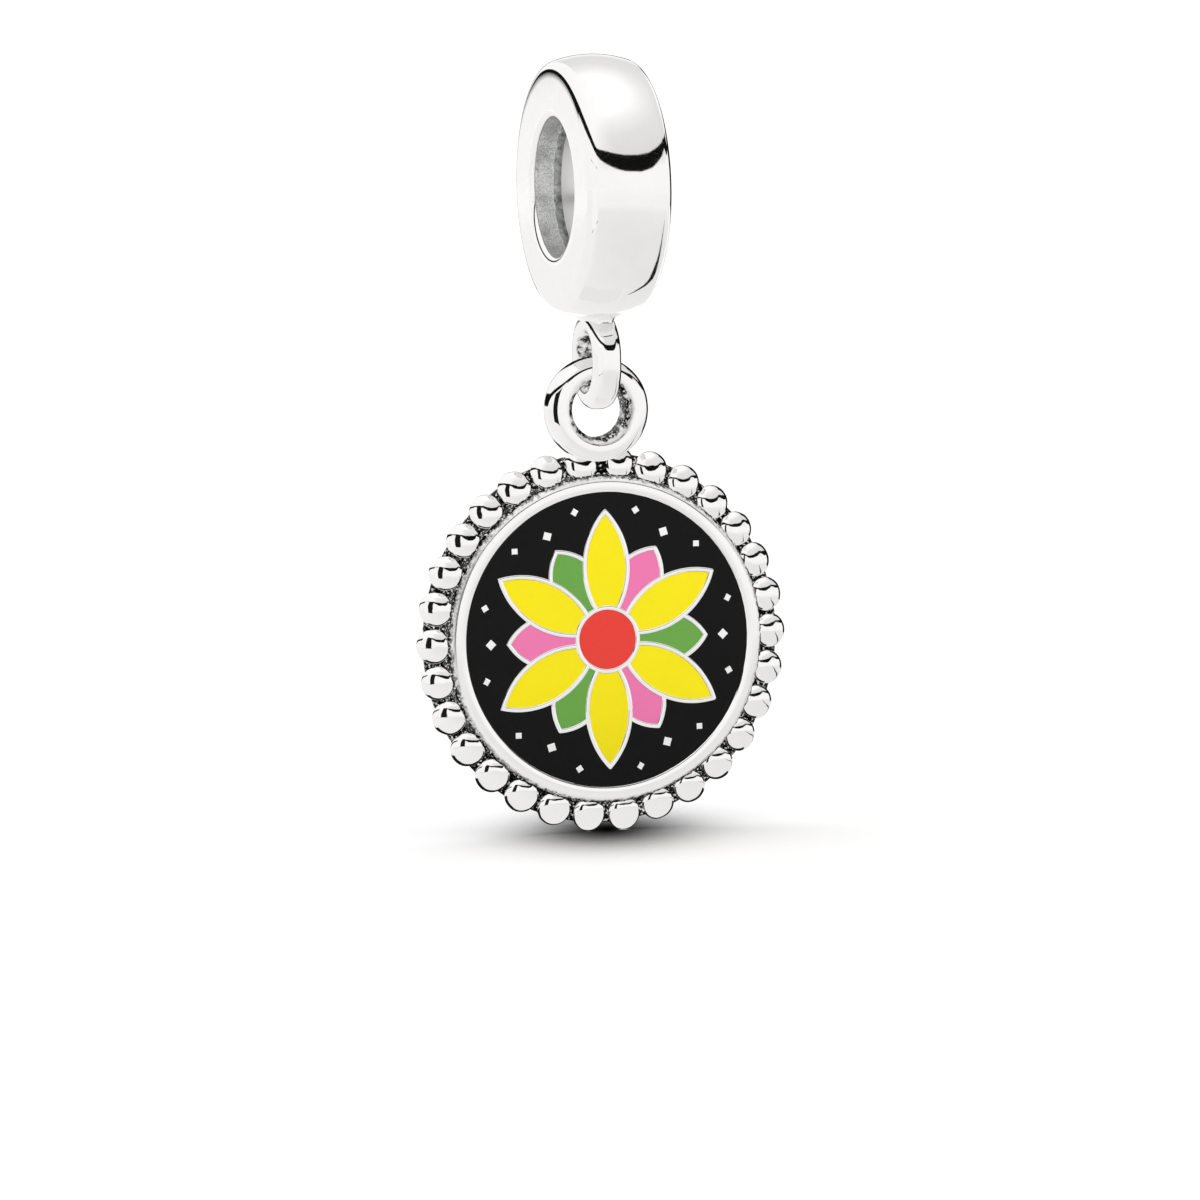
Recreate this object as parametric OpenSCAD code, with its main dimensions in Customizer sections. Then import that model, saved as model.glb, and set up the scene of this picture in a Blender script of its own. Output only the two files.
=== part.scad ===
// Dangle charm: a silver bail ring that slides on a bracelet, and a beaded
// medallion with an enamel face that hangs from the loop under the ring.
// Millimetres. X runs along the bore, -Y is the front, +Z is up, and the
// origin is the centre of the bore.

/* [Bail ring] */
// Outside diameter of the bail ring
bail_d = 8.5; // [8.3:0.02:8.7]
// Width of the bail ring along its bore
bail_w = 2.8; // [2.6:0.02:2.9]
// Diameter of the bore that the bracelet passes through
bore_d = 4.5; // [4.3:0.02:4.6]
// Height of the crown across the ring's outside
bail_crown = 0.28; // [0.2:0.02:0.34]
// Radius of the ring's two shoulders
bail_corner = 0.42; // [0.3:0.02:0.5]
// Radius of the lips round the bore
bore_lip = 0.16; // [0.1:0.02:0.2]

/* [Loop under the bail] */
// Width of the loop's band, along the bore
loop_w = 0.9; // [0.86:0.01:0.92]
// Thickness of the loop's band
loop_t = 0.78; // [0.76:0.01:0.8]
// Width of the opening inside the loop
loop_gap = 1.36; // [1.34:0.01:1.4]
// Height of the opening inside the loop
loop_high = 1.64; // [1.62:0.01:1.72]
// Distance from the bail ring's lowest point down to the loop's
loop_reach = 2.94; // [2.9:0.01:2.98]

/* [Ring on the medallion] */
// Outside diameter of the ring
ring_d = 3.36; // [3.32:0.01:3.4]
// Thickness of the ring's band
ring_t = 0.76; // [0.74:0.01:0.78]
// Width of the ring's band, front to back
ring_w = 1.12; // [1.04:0.01:1.14]
// Clearance between the ring's hole and the loop that it hangs in
hang_gap = 0.15; // [0.14:0.01:0.16]

/* [Medallion] */
// Distance from the ring's middle down to the disc's middle
drop = 7.43; // [7.4:0.01:7.46]
// Diameter of the circle that the bead centres lie on
bead_circle_d = 11.47; // [11.4:0.01:11.6]
// Diameter of one bead
bead_d = 1.1; // [1.02:0.01:1.12]
// Number of beads round the edge
bead_count = 30; // [30:1:30]
// Diameter of the flat rim round the enamel
rim_d = 10.28; // [10.1:0.02:10.3]
// Diameter of the enamel face
face_d = 9.56; // [9.4:0.02:9.6]
// Depth from the rim's face back to the middle of the beads
rim_front = 0.56; // [0.5:0.01:0.6]
// Depth from the middle of the beads to the flat back
plate_back = 0.5; // [0.45:0.01:0.55]
// Depth of the pocket that holds the enamel
pocket = 0.34; // [0.3:0.01:0.36]

/* [Enamel flower] */
// Number of long petals, with a short leaf between each two
petal_count = 6; // [6:2:6]
// Distance from the middle to a long petal's tip
petal_tip = 4.14; // [4:0.01:4.2]
// Half width of a long petal
petal_half = 0.73; // [0.69:0.01:0.75]
// Distance from the middle to a leaf's tip
leaf_tip = 3.34; // [3.24:0.01:3.38]
// Half width of a leaf
leaf_half = 0.83; // [0.79:0.01:0.85]
// Radius of the round centre
centre_r = 1.03; // [1:0.01:1.06]
// Thickness of the silver walls between the colours
wall = 0.12; // [0.12:0.01:0.15]

/* [Hidden] */
$fn = 64;
slack = 0.01;           // clearance round each fill of enamel
sink = 0.03;            // how far the enamel lies below the rim

// bail ring: the crown is an arc, and each shoulder is tangent to it
bail_r = bail_d / 2;
bore_r = bore_d / 2;
half_w = bail_w / 2;
crown_r = (half_w * half_w + bail_crown * bail_crown) / (2 * bail_crown);
crown_y = bail_r - crown_r;
corner_x = half_w - bail_corner;
corner_y = crown_y + sqrt(pow(crown_r - bail_corner, 2) - corner_x * corner_x);
crown_x = corner_x * crown_r / (crown_r - bail_corner);
crown_edge = crown_y + (corner_y - crown_y) * crown_r / (crown_r - bail_corner);
lip_x = half_w - bore_lip;
lip_y = bore_r + bore_lip;

// loop: a racetrack ring that stands in the YZ plane
loop_low = -(bail_r + loop_reach);
loop_mid = (loop_gap + loop_t) / 2;
loop_straight = loop_high - loop_gap;
loop_z = loop_low + loop_t + loop_gap / 2;
loop_top_z = loop_z + loop_straight;
foot_fillet = 0.25;     // fillets where the loop meets the bail ring
touch = 0.01;           // how far a fillet runs into the metal beside it
loop_round = 0.42;      // rounding of the band's outer corners
loop_round_in = 0.3;    // rounding of the band's inner corners
loop_out = loop_mid + loop_t / 2;
foot_z = (pow(loop_top_z, 2) - pow(loop_out + foot_fillet, 2) + pow(bail_r + foot_fillet, 2))
    / (2 * loop_top_z);
foot_y = sqrt(pow(bail_r + foot_fillet, 2) - foot_z * foot_z) - touch;
foot_low_y = foot_y * loop_out / (loop_out + foot_fillet);
foot_low_z = loop_top_z + (foot_z - loop_top_z) * loop_out / (loop_out + foot_fillet);
foot_top_y = foot_y * bail_r / (bail_r + foot_fillet);
foot_top_z = foot_z * bail_r / (bail_r + foot_fillet);
foot_x = loop_w / 2 + foot_fillet - 3 * touch;
foot_side_z = touch - crown_y - sqrt(pow(crown_r + foot_fillet, 2) - foot_x * foot_x);

// ring and disc: the ring hangs a hair above the loop's band
ring_round = 0.37;      // rounding of the band's outer corners
ring_round_in = 0.3;    // rounding of the band's inner corners
ring_r = ring_d / 2;
ring_hole_r = ring_r - ring_t;
ring_z = loop_low + loop_t + hang_gap - ring_hole_r;
disc_z = ring_z - drop;
bead_ring_r = bead_circle_d / 2;
face_r = face_d / 2;
rim_r = rim_d / 2;
rim_foot_r = rim_r + 0.2;
rim_foot = 0.16;        // where the slope from the groove meets the rim's wall
web_r = bead_ring_r + 0.16;
web_front = 0.12;       // the groove's floor, behind the middle of the beads
web_back = 0.36;
edge = 0.06;            // small bevel on the rim and on the back
neck_half = 0.9;        // half width of the solder between ring and beads
neck_w = 0.44;
neck_low = web_r - 0.3; // it starts inside the beads and ends inside the ring
neck_high = drop - ring_r + 0.25;
neck_cut = [0.1, 0.05, 0.35];  // taper, then the drop and the inset of the top's bevels

// enamel: each shape is a lens between a root and a tip
petal_root = 0.5;
leaf_root = 0.4;
wall_sink = 0.005;      // the walls end just below the rim
wall_root = 0.1;        // and run into the plate under the pocket
specks = [              // silver diamonds: distance, angle from a petal, half diagonal
    [3.94, 30, 0.17],
    [4.28, 14, 0.13],
    [4.28, 46, 0.13]
];
turn = 360 / petal_count;

PETALS = [for (i = [1:petal_count]) str("petal_", i)];
GREENS = [for (i = [1:petal_count / 2]) str("green_leaf_", i)];
PINKS = [for (i = [1:petal_count / 2]) str("pink_leaf_", i)];

// Bail ring

// Section of the bail ring: x runs along the bore, y is the distance from it.
module bail_section() {
    intersection() {
        translate([0, crown_y]) circle(crown_r);
        translate([-crown_x, crown_edge]) square([2 * crown_x, bail_r]);
    }
    for (s = [-1, 1]) {
        translate([s * corner_x, corner_y]) circle(bail_corner);
        translate([s * lip_x, lip_y]) circle(bore_lip);
    }
    polygon([[-lip_x, bore_r], [lip_x, bore_r], [half_w, lip_y], [half_w, corner_y],
             [crown_x, crown_edge], [-crown_x, crown_edge],
             [-half_w, corner_y], [-half_w, lip_y]]);
}

// Section of a band of width w (along y) and thickness t (along x, outwards).
module band(w, t, outer, inner) {
    for (s = [-1, 1]) {
        translate([t / 2 - outer, s * (w / 2 - outer)]) circle(outer);
        translate([-t / 2 + inner, s * (w / 2 - inner)]) circle(inner);
    }
    polygon([[t / 2, w / 2 - outer], [t / 2 - outer, w / 2],
             [-t / 2 + inner, w / 2], [-t / 2, w / 2 - inner],
             [-t / 2, -w / 2 + inner], [-t / 2 + inner, -w / 2],
             [t / 2 - outer, -w / 2], [t / 2, -w / 2 + outer]]);
}

module loop_section() {
    band(loop_w, loop_t, loop_round, loop_round_in);
}

module bail_loop() {
    // lower bend, two legs, upper bend
    translate([0, 0, loop_z]) rotate([0, 90, 0]) rotate([0, 0, -90])
        rotate_extrude(angle = 180) translate([loop_mid, 0]) loop_section();
    for (s = [0, 180])
        translate([0, 0, loop_z]) rotate([0, 0, 90 + s]) translate([loop_mid, 0, 0])
            linear_extrude(loop_straight) loop_section();
    translate([0, 0, loop_top_z]) rotate([0, 90, 0]) rotate([0, 0, 90])
        rotate_extrude(angle = 180) translate([loop_mid, 0]) loop_section();
}

// Solder that fills the corner between loop and bail ring: the fillets seen
// along the bore, cut to the fillets seen from the front.
module loop_foot() {
    intersection() {
        rotate([90, 0, 90])
            linear_extrude(2, center = true)
                difference() {
                    polygon([[-foot_low_y, foot_low_z], [foot_low_y, foot_low_z], [foot_y, foot_z],
                             [foot_top_y, foot_top_z], [-foot_top_y, foot_top_z], [-foot_y, foot_z]]);
                    for (s = [-1, 1]) translate([s * foot_y, foot_z]) circle(foot_fillet);
                }
        rotate([90, 0, 0])
            linear_extrude(3, center = true)
                difference() {
                    translate([-foot_x, foot_low_z]) square([2 * foot_x, foot_fillet + 0.5]);
                    for (s = [-1, 1]) {
                        translate([s * foot_x, foot_side_z]) circle(foot_fillet);
                        translate([s * foot_x - foot_fillet, foot_side_z - 1]) square([2 * foot_fillet, 1]);
                    }
                }
    }
}

module bail() {
    color("silver") {
        rotate([0, 90, 0]) rotate_extrude() rotate([0, 0, -90]) bail_section();
        bail_loop();
        loop_foot();
    }
}

// Medallion

// Lens between two points on the Y axis, grown by g all round.
module lens(root, tip, half, g) {
    c = (tip - root) / 2;
    r = (c * c + half * half) / (2 * half);
    translate([0, (root + tip) / 2])
        intersection() {
            translate([r - half, 0]) circle(r + g);
            translate([half - r, 0]) circle(r + g);
        }
}

module petal_shape(i, g) {
    rotate([0, 0, i * turn]) lens(petal_root, petal_tip, petal_half, g);
}

module leaf_shape(i, g) {
    rotate([0, 0, (i + 0.5) * turn]) lens(leaf_root, leaf_tip, leaf_half, g);
}

module all_petals(g) {
    for (i = [0:petal_count - 1]) petal_shape(i, g);
}

module all_leaves(g) {
    for (i = [0:petal_count - 1]) leaf_shape(i, g);
}

module specks_2d(g) {
    for (i = [0:petal_count - 1]) for (s = specks)
        rotate([0, 0, i * turn + s[1]]) translate([0, s[0]]) rotate([0, 0, 45])
            square((s[2] + g) * sqrt(2), center = true);
}

// Everything below lies in the disc's plane: x is world x, y is height above
// the disc's middle, and the extrusion runs to the front.
module face_on(front, depth) {
    translate([0, -front + depth, disc_z]) rotate([90, 0, 0]) linear_extrude(depth) children();
}

module cell_walls() {
    face_on(rim_front - wall_sink, pocket + wall_root)
        difference() {
            union() {
                all_petals(wall / 2);
                all_leaves(wall / 2);
                circle(centre_r + wall / 2);
            }
            circle(centre_r - wall / 2);
            difference() {
                all_petals(-wall / 2);
                circle(centre_r + wall / 2);
            }
            difference() {
                all_leaves(-wall / 2);
                all_petals(wall / 2);
                circle(centre_r + wall / 2);
            }
        }
    face_on(rim_front - wall_sink, pocket + wall_root) specks_2d(0);
}

// Section of the disc: x is the distance from its middle, y points to the front.
module disc_section() {
    polygon([
        [0, -plate_back], [rim_r - edge, -plate_back], [rim_r, edge - plate_back], [rim_r, -web_back],
        [web_r, -web_back], [web_r, -web_front], [rim_foot_r, -web_front], [rim_r, rim_foot],
        [rim_r, rim_front - edge], [rim_r - edge, rim_front], [face_r, rim_front],
        [face_r, rim_front - pocket], [0, rim_front - pocket]
    ]);
}

module beads() {
    for (i = [0:bead_count - 1])
        translate([0, 0, disc_z]) rotate([0, (i + 0.5) * 360 / bead_count, 0])
            translate([0, 0, bead_ring_r]) sphere(d = bead_d);
}

module medallion_ring() {
    translate([0, 0, ring_z]) rotate([90, 0, 0])
        rotate_extrude() translate([ring_r - ring_t / 2, 0])
            band(ring_w, ring_t, ring_round, ring_round_in);
}

module ring_neck() {
    side = neck_half - neck_cut[0];
    bevel_z = neck_high - neck_cut[1];
    top = neck_half - neck_cut[2];
    translate([0, neck_w / 2, disc_z]) rotate([90, 0, 0]) linear_extrude(neck_w)
        polygon([[-neck_half, neck_low], [neck_half, neck_low], [side, bevel_z],
                 [top, neck_high], [-top, neck_high], [-side, bevel_z]]);
}

module medallion() {
    color("silver") {
        translate([0, 0, disc_z]) rotate([90, 0, 0]) rotate_extrude() disc_section();
        beads();
        medallion_ring();
        ring_neck();
        cell_walls();
    }
}

// Enamel fills

module fill() {
    face_on(rim_front - sink, pocket - sink - slack) children();
}

module enamel_ground() {
    color("#282826") fill()
        difference() {
            circle(face_r - slack);
            all_petals(wall / 2 + slack);
            all_leaves(wall / 2 + slack);
            circle(centre_r + wall / 2 + slack);
            specks_2d(slack);
        }
}

module enamel_centre() {
    color("#E9483E") fill() circle(centre_r - wall / 2 - slack);
}

module petal(i) {
    color("#FAEA1C") fill()
        difference() {
            petal_shape(i - 1, -wall / 2 - slack);
            circle(centre_r + wall / 2 + slack);
        }
}

module leaf(i) {
    fill()
        difference() {
            leaf_shape(i, -wall / 2 - slack);
            all_petals(wall / 2 + slack);
            circle(centre_r + wall / 2 + slack);
        }
}

bail();
medallion();
enamel_ground();
enamel_centre();
for (i = [1:petal_count])
    petal(i);
for (i = [1:petal_count / 2]) {
    color("#70AB4E") leaf(2 * i - 2);
    color("#F07EB2") leaf(2 * i - 1);
}
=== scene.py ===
"""A dangle charm: a crowned silver bail ring and, hanging in its loop, a beaded medallion
with an enamel flower."""
import math

import bpy
import numpy as np
from mathutils import Matrix, Vector, noise


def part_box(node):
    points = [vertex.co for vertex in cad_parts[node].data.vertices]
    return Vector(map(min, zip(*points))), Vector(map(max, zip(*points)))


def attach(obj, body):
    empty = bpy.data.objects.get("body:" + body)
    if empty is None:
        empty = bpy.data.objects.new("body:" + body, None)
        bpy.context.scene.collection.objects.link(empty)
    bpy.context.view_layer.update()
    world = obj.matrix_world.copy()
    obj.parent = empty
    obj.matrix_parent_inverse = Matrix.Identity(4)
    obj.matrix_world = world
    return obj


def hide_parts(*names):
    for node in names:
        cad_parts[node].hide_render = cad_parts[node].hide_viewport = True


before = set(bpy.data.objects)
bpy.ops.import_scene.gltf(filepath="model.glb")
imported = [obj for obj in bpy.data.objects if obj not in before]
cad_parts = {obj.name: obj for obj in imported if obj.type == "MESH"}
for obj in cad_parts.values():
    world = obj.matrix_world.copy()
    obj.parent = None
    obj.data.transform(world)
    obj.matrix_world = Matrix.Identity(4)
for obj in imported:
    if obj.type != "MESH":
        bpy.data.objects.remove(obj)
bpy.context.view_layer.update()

# Bail ring. A ring of cast sterling silver that slides on the bracelet. Its outside is turned to a low crown
# between two round shoulders and polished to a mirror. The bore keeps the grain of the casting, and a
# smoother channel is sunk in its middle, with a ragged edge.
MM = 0.001
bail_low, bail_high = (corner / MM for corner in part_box("bail"))
BAIL_R = bail_high.z
BAIL_HALF_W = bail_high.x
BORE_R = 2.25
CROWN = 0.28
SHOULDER = 0.42
LIP = 0.16
CHANNEL_HALF_W = 0.58
SMOOTH_HALF_W = 0.33
CHANNEL_DEPTH = 0.05
CHANNEL_SATIN = 0.16
RAGGED_LUMP = 0.22
RAGGED_ALONG = 0.05
RAGGED_DEEP = 0.012
BAIL_STEPS = 360


def arc(cx, cy, r, a, b, n):
    """Points on a circle, from angle a to angle b in degrees."""
    t = np.radians(np.linspace(a, b, n + 1))
    return np.stack([cx + r * np.cos(t), cy + r * np.sin(t)], 1)


def lathe(profile, steps, closed=True):
    """Turns a profile of (along the axis, from the axis) round +X. Gives points and faces."""
    n = len(profile)
    t = np.linspace(0, 2 * np.pi, steps, endpoint=False)
    points = np.stack([np.repeat(profile[:, 0][None], steps, 0),
                       profile[:, 1][None] * np.sin(t)[:, None],
                       profile[:, 1][None] * np.cos(t)[:, None]], 2).reshape(-1, 3)
    last = n if closed else n - 1
    faces = [(i * n + j, i * n + (j + 1) % n, (i + 1) % steps * n + (j + 1) % n, (i + 1) % steps * n + j)
             for i in range(steps) for j in range(last)]
    return points, faces


def mesh_piece(name, points, faces, body, materials, finish=None, patina=None, sharp=40):
    """A smooth-shaded mesh, given in millimetres, that rides on a body. finish gives each face its
    material, and patina says how much each point has kept of the dark finish that was brushed in
    before polishing."""
    mesh = bpy.data.meshes.new(name)
    mesh.from_pydata((np.asarray(points) * MM).tolist(), [], faces)
    mesh.shade_smooth()
    mesh.set_sharp_from_angle(angle=math.radians(sharp))
    for material in materials:
        mesh.materials.append(material)
    if finish is not None:
        mesh.polygons.foreach_set("material_index", np.asarray(finish, int))
    if patina is not None:
        mesh.attributes.new("patina", "FLOAT", "POINT").data.foreach_set("value", np.asarray(patina, float))
    piece = bpy.data.objects.new(name, mesh)
    bpy.context.scene.collection.objects.link(piece)
    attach(piece, body)
    return piece


def lumps(points, size, seed):
    """Smooth noise from -1 to 1 at each point, with lumps of about the given size in millimetres."""
    shift = Vector((seed * 7.3, seed * 3.1, seed * 5.7))
    return np.array([noise.noise(Vector(p) / size + shift) for p in points.tolist()])


def linear(code):
    """A colour as the shaders take it, from its sRGB hex code."""
    values = [int(code[i:i + 2], 16) / 255 for i in (1, 3, 5)]
    return (*(v / 12.92 if v < 0.04045 else ((v + 0.055) / 1.055) ** 2.4 for v in values), 1)


def add(tree, kind, links=None, **settings):
    """Adds a node. settings are its own properties, and links gives its inputs a value or another
    node's output."""
    node = tree.nodes.new(kind)
    for key, value in settings.items():
        setattr(node, key, value)
    for key, value in (links or {}).items():
        if isinstance(value, bpy.types.NodeSocket):
            tree.links.new(value, node.inputs[key])
        else:
            node.inputs[key].default_value = value
    return node


def ramp_node(tree, value, stops):
    """A colour ramp over value, which runs from 0 to 1. stops are (value, colour)."""
    node = add(tree, "ShaderNodeValToRGB", {"Fac": value})
    ramp = node.color_ramp
    while len(ramp.elements) < len(stops):
        ramp.elements.new(0.5)
    for element, (at, colour) in zip(ramp.elements, stops):
        element.position = at
        element.color = (*colour[:3], 1)
    return node.outputs[0]


def sterling_silver(name):
    """Polished sterling silver: a clear, almost white mirror, a little wavy from the wheel and hazed by fine
    scratches. Where the patina was left it turns into mottled dark grey with a few bright grains, and it
    runs down to near black, so that it also paints the shade that falls in the hollows between parts."""
    material = bpy.data.materials.new(name)
    material.use_nodes = True
    tree = material.node_tree
    metal = tree.nodes["Principled BSDF"]
    metal.inputs["Metallic"].default_value = 1
    place = add(tree, "ShaderNodeTexCoord").outputs["Object"]
    wheel = add(tree, "ShaderNodeTexNoise", {"Vector": place, "Scale": 1 / (1.3 * MM), "Detail": 1.0})
    haze = add(tree, "ShaderNodeTexNoise", {"Vector": place, "Scale": 1 / (0.5 * MM), "Detail": 3.0})
    # polishing scratches are about 0.005 mm wide: drawn 0.03 mm wide, so that they show at all
    along = add(tree, "ShaderNodeVectorMath", {0: place, 1: (0.12, 1, 1)}, operation="MULTIPLY")
    scratch = add(tree, "ShaderNodeTexNoise", {"Vector": along.outputs[0], "Scale": 1 / (0.03 * MM),
                                               "Detail": 2.0})
    grain = add(tree, "ShaderNodeTexNoise", {"Vector": place, "Scale": 1 / (0.16 * MM), "Detail": 4.0,
                                             "Roughness": 0.7})
    fleck = add(tree, "ShaderNodeTexNoise", {"Vector": place, "Scale": 1 / (0.085 * MM), "Detail": 2.0})
    left = add(tree, "ShaderNodeAttribute", attribute_name="patina")
    ragged = add(tree, "ShaderNodeMath", {0: grain.outputs[0], 1: 0.8, 2: -0.4}, operation="MULTIPLY_ADD")
    dark = add(tree, "ShaderNodeMath", {0: left.outputs["Fac"], 1: ragged.outputs[0]}, operation="ADD")
    dark = add(tree, "ShaderNodeMapRange", {"Value": dark.outputs[0], "From Min": 0.34, "From Max": 0.6},
               interpolation_type="SMOOTHSTEP")
    dark = dark.outputs[0]
    bright = add(tree, "ShaderNodeMix", {"Factor": haze.outputs[0], 6: linear("#F3F2F1"),
                                         7: linear("#EDECEB")}, data_type="RGBA")
    # the oxide runs down to near black: the patina's own colour, and painted shade for the hollows between
    # parts
    oxide = ramp_node(tree, fleck.outputs[0], [(0.44, linear("#040404")), (0.53, linear("#1C1C1C")),
                                               (0.57, linear("#505050")), (0.61, linear("#B0B0AF")),
                                               (0.64, linear("#F4F3F1"))])
    colour = add(tree, "ShaderNodeMix", {"Factor": dark, 6: bright.outputs[2], 7: oxide},
                 data_type="RGBA")
    tree.links.new(colour.outputs[2], metal.inputs["Base Color"])
    polish = add(tree, "ShaderNodeMapRange", {"Value": scratch.outputs[0], "From Min": 0.4, "From Max": 0.75,
                                              "To Min": 0.03, "To Max": 0.1})
    satin = add(tree, "ShaderNodeMath", {0: left.outputs["Fac"], 1: 1.6, 2: polish.outputs[0]},
                operation="MULTIPLY_ADD")
    satin = add(tree, "ShaderNodeMath", {0: satin.outputs[0], 1: 0.42}, operation="MINIMUM")
    rough = add(tree, "ShaderNodeMix", {"Factor": dark, 2: satin.outputs[0], 3: 0.42})
    tree.links.new(rough.outputs[0], metal.inputs["Roughness"])
    pits = add(tree, "ShaderNodeMath", {0: grain.outputs[0], 1: dark}, operation="MULTIPLY")
    wave = add(tree, "ShaderNodeBump", {"Height": wheel.outputs[0], "Strength": 1.0,
                                        "Distance": 0.0016 * MM})
    bump = add(tree, "ShaderNodeBump", {"Height": pits.outputs[0], "Strength": 1.0, "Distance": 0.05 * MM,
                                        "Normal": wave.outputs[0]})
    tree.links.new(bump.outputs[0], metal.inputs["Normal"])
    return material


def cast_silver(name, code, rough, grain_mm):
    """Silver as it left the mould and the pickle: dull grey-white with a fine pebble grain."""
    material = bpy.data.materials.new(name)
    material.use_nodes = True
    tree = material.node_tree
    metal = tree.nodes["Principled BSDF"]
    metal.inputs["Metallic"].default_value = 1
    place = add(tree, "ShaderNodeTexCoord").outputs["Object"]
    pebble = add(tree, "ShaderNodeTexNoise", {"Vector": place, "Scale": 1 / (grain_mm * MM), "Detail": 3.0})
    stain = add(tree, "ShaderNodeTexNoise", {"Vector": place, "Scale": 1 / (0.6 * MM), "Detail": 2.0})
    tone = add(tree, "ShaderNodeMapRange", {"Value": stain.outputs[0], "From Min": 0.3, "From Max": 0.7,
                                            "To Min": 0.75, "To Max": 1.15})
    speckle = add(tree, "ShaderNodeMapRange", {"Value": pebble.outputs[0], "From Min": 0.35,
                                               "From Max": 0.65, "To Min": 0.56, "To Max": 1.08})
    tone = add(tree, "ShaderNodeMath", {0: tone.outputs[0], 1: speckle.outputs[0]}, operation="MULTIPLY")
    shade = add(tree, "ShaderNodeVectorMath", {0: linear(code)[:3], "Scale": tone.outputs[0]},
                operation="SCALE")
    tree.links.new(shade.outputs[0], metal.inputs["Base Color"])
    haze = add(tree, "ShaderNodeMapRange", {"Value": pebble.outputs[0], "To Min": rough - 0.1,
                                            "To Max": rough + 0.1})
    tree.links.new(haze.outputs[0], metal.inputs["Roughness"])
    bump = add(tree, "ShaderNodeBump", {"Height": pebble.outputs[0], "Strength": 1.0, "Distance": 0.02 * MM})
    tree.links.new(bump.outputs[0], metal.inputs["Normal"])
    return material


bail_silver = sterling_silver("polished_sterling_silver")
bore_silver = cast_silver("as_cast_silver", "#F6F6F5", 0.42, 0.04)
channel_silver = cast_silver("smoothed_cast_silver", "#A9ADAC", 0.3, 0.2)
crown_r = (BAIL_HALF_W ** 2 + CROWN ** 2) / (2 * CROWN)
crown_y = BAIL_R - crown_r
shoulder_x = BAIL_HALF_W - SHOULDER
shoulder_y = crown_y + math.sqrt((crown_r - SHOULDER) ** 2 - shoulder_x ** 2)
shoulder_turn = math.degrees(math.asin(shoulder_x / (crown_r - SHOULDER)))
lip_end = BAIL_HALF_W - LIP
outside = np.concatenate([
    arc(0, crown_y, crown_r, 90, 90 - shoulder_turn, 16),
    arc(shoulder_x, shoulder_y, SHOULDER, 90 - shoulder_turn, 0, 16)[1:],
    [[BAIL_HALF_W, shoulder_y + (BORE_R + LIP - shoulder_y) * s] for s in (0.15, 0.3, 0.5, 0.7, 0.85)],
    arc(lip_end, BORE_R + LIP, LIP, 0, -90, 10)])
bore = np.array([[lip_end + (CHANNEL_HALF_W - lip_end) * s, BORE_R] for s in (0.25, 0.5, 0.75, 0.95)])
channel = np.array([[x, BORE_R + CHANNEL_DEPTH]
                    for x in (CHANNEL_HALF_W - 0.05, 0.42, SMOOTH_HALF_W, 0.16, 0)])
half = np.concatenate([outside, bore, channel])
section = np.concatenate([half, (half[::-1] * [-1, 1])[1:-1]])
points, faces = lathe(section, BAIL_STEPS)
part = np.arange(len(points)) % len(section)
part = np.minimum(part, len(section) - part)
edge = (part >= len(outside) + 2) & (part <= len(outside) + len(bore))
ragged = lumps(points[edge], RAGGED_LUMP, 1)
points[edge, 0] += RAGGED_ALONG * ragged * np.sign(points[edge, 0])
points[edge, 1:] *= 1 - RAGGED_DEEP * np.abs(ragged)[:, None]
ring_part = np.arange(len(faces)) % len(section)
ring_part = np.minimum(ring_part, len(section) - 1 - ring_part)
finish = np.where(ring_part < len(outside) - 1, 0, np.where(ring_part < len(outside) + len(bore) - 1, 1, 2))
middle_x = np.abs(points[:, 0][np.array(faces)].mean(1))
finish[(finish == 2) & (middle_x < SMOOTH_HALF_W)] = 0
patina = CHANNEL_SATIN * (part >= len(outside) + len(bore) + 2)
bail_ring = mesh_piece("bail_ring", points, faces, "bail_ring",
                       [bail_silver, bore_silver, channel_silver], finish, patina)
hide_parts("bail")

# Loop under the bail ring. A band of silver with rounded edges, bent to a racetrack and standing
# across the bore. Its outside is polished and its inside was never reached by the wheel. The bail
# ring's clean underside doesn't mirror it.
LOOP_W = 0.9
LOOP_T = 0.78
LOOP_GAP = 1.36
LOOP_HIGH = 1.64
LOOP_SQUARE = 0.8
LOOP_ROUND_IN = 0.3
LOOP_PATINA = 0.7
BEND_STEPS = 144


def band(w, t, outer, inner, n=10):
    """Closed section of a band as (outwards, across), with rounded corners."""
    return np.concatenate([
        arc(t / 2 - outer, w / 2 - outer, outer, 0, 90, n),
        arc(-t / 2 + inner, w / 2 - inner, inner, 90, 180, n),
        arc(-t / 2 + inner, -w / 2 + inner, inner, 180, 270, n),
        arc(t / 2 - outer, -w / 2 + outer, outer, 270, 360, n)])


def sweep(path, outward, across, section):
    """Sweeps a closed section along a closed path, whose points each give the section's two axes."""
    n, m = len(section), len(path)
    points = path[:, None] + outward[:, None] * section[None, :, :1] + across[:, None] * section[None, :, 1:]
    faces = [(i * n + j, i * n + (j + 1) % n, (i + 1) % m * n + (j + 1) % n, (i + 1) % m * n + j)
             for i in range(m) for j in range(n)]
    return points.reshape(-1, 3), faces


def loft(rings):
    """Joins rings of points, in order, and closes the two ends."""
    m, n = rings.shape[:2]
    faces = [(i * n + j, i * n + (j + 1) % n, (i + 1) * n + (j + 1) % n, (i + 1) * n + j)
             for i in range(m - 1) for j in range(n)]
    faces += [tuple(range(n))[::-1], tuple((m - 1) * n + j for j in range(n))]
    return rings.reshape(-1, 3), faces


def inner_patina(section, t, most):
    """Patina of a swept band: none outside, and up to most on the side that faces the hole."""
    return most * np.clip((-0.1 - section[:, 0]) / (t / 2 - 0.16), 0, 1)


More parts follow.
